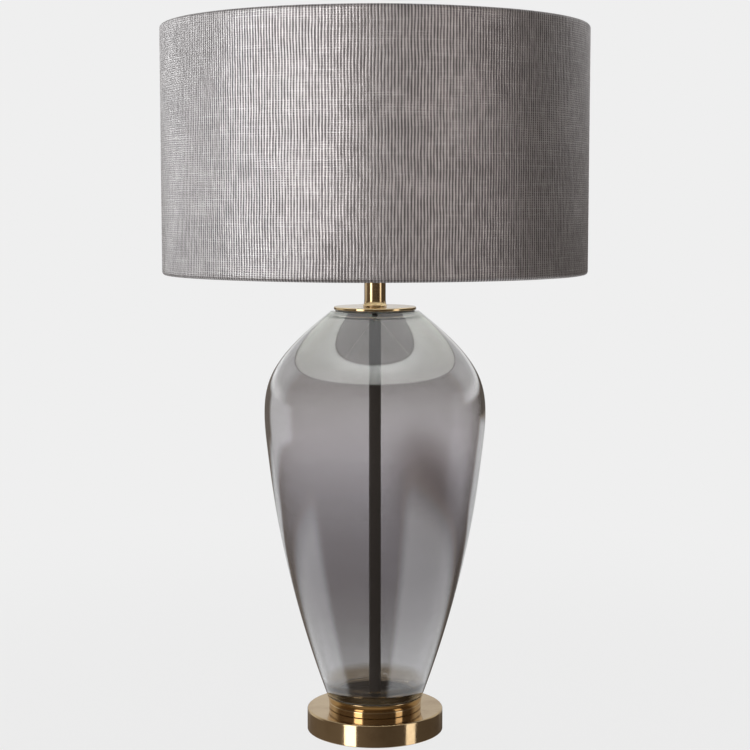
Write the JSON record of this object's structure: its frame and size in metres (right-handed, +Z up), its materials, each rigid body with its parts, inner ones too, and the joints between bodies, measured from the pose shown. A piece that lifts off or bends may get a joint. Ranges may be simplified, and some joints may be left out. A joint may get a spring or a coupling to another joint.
{
  "type": "table lamp with shade",
  "caption": "Table lamp: tapering smoked glass body on a round brass base, brass cap and neck, and a wide grey woven drum shade on a harp.",
  "frame": {"origin": "centre of the base pad's underside, on the table", "axes": "+Z up along the threaded rod, -Y is the front, away from the cord inlet"},
  "size_m": [0.4, 0.4, 0.6816],
  "materials": {
    "brass": "polished dark gold plating, clear-lacquered",
    "socket_brass": "bright spun brass shell",
    "steel": "zinc-plated",
    "cast_iron": "rough sand casting, black paint",
    "felt": "pressed black felt",
    "black_paint": "satin black paint",
    "black_plastic": "moulded phenolic",
    "smoked_glass": "blown glass, smoke grey, fire-polished",
    "clear_rubber": "clear silicone",
    "fibre_board": "pressed insulating board",
    "opal_glass": "frosted white bulb glass",
    "shade_weave": "coarse grey handloom weave on a stiff backing",
    "shade_lining": "white styrene lining",
    "white_enamel": "white powder-coated wire"
  },
  "bodies": {
    "lamp_body": {"base_pad": "felt", "base_shell": "brass", "base_weight": "cast_iron", "cord_bush": "black_plastic", "rod_washer": "steel", "rod_nut": "steel", "threaded_rod": "steel", "collar_ring": "brass", "foot_cup": "brass", "foot_gasket": "clear_rubber", "seat_dish": "black_paint", "glass_body": "smoked_glass", "rod_sleeve": "black_paint", "neck_plug": "clear_rubber", "cap_gasket": "clear_rubber", "cap_plate": "brass", "neck_tube": "brass", "harp_saddle": "steel", "harp_wire": "steel", "harp_stud": "socket_brass", "socket_cap": "socket_brass", "set_screw": "steel", "socket_shell": "socket_brass", "socket_liner": "fibre_board", "socket_body": "black_plastic", "terminal_screw_live": "socket_brass", "terminal_screw_neutral": "socket_brass", "screw_shell": "socket_brass", "centre_contact": "socket_brass"},
    "shade": {"shade_fabric": "shade_weave", "shade_lining": "shade_lining", "shade_top_ring": "white_enamel", "shade_bottom_ring": "white_enamel", "spider_hub": "white_enamel", "spider_arm_1": "white_enamel", "spider_arm_2": "white_enamel", "spider_arm_3": "white_enamel"},
    "finial": {"finial": "brass"},
    "switch_knob": {"switch_knob": "black_plastic"},
    "bulb": {"bulb_eyelet": "steel", "bulb_insulator": "black_plastic", "bulb_cap": "steel", "bulb_glass": "opal_glass"},
    "ferrule_left": {"harp_ferrule_left": "socket_brass"},
    "ferrule_right": {"harp_ferrule_right": "socket_brass"}
  },
  "joints": [
    {"name": "shade_turn", "type": "hinge", "parent": "lamp_body", "child": "shade", "pos_m": [0, 0, 0.6533], "axis": [0, 0, 1], "continuous": true},
    {"name": "finial_turn", "type": "hinge", "parent": "lamp_body", "child": "finial", "pos_m": [0, 0, 0.668], "axis": [0, 0, 1], "range_deg": [0, 1800]},
    {"name": "knob_turn", "type": "hinge", "parent": "lamp_body", "child": "switch_knob", "pos_m": [0, -0.031, 0.466], "axis": [0, -1, 0], "continuous": true},
    {"name": "bulb_turn", "type": "hinge", "parent": "lamp_body", "child": "bulb", "pos_m": [0, 0, 0.52], "axis": [0, 0, 1], "range_deg": [0, 2520]},
    {"name": "ferrule_left_slide", "type": "slide", "parent": "lamp_body", "child": "ferrule_left", "axis": [0, 0, 1], "range_m": [0, 0.013]},
    {"name": "ferrule_right_slide", "type": "slide", "parent": "lamp_body", "child": "ferrule_right", "axis": [0, 0, 1], "range_m": [0, 0.013]}
  ]
}
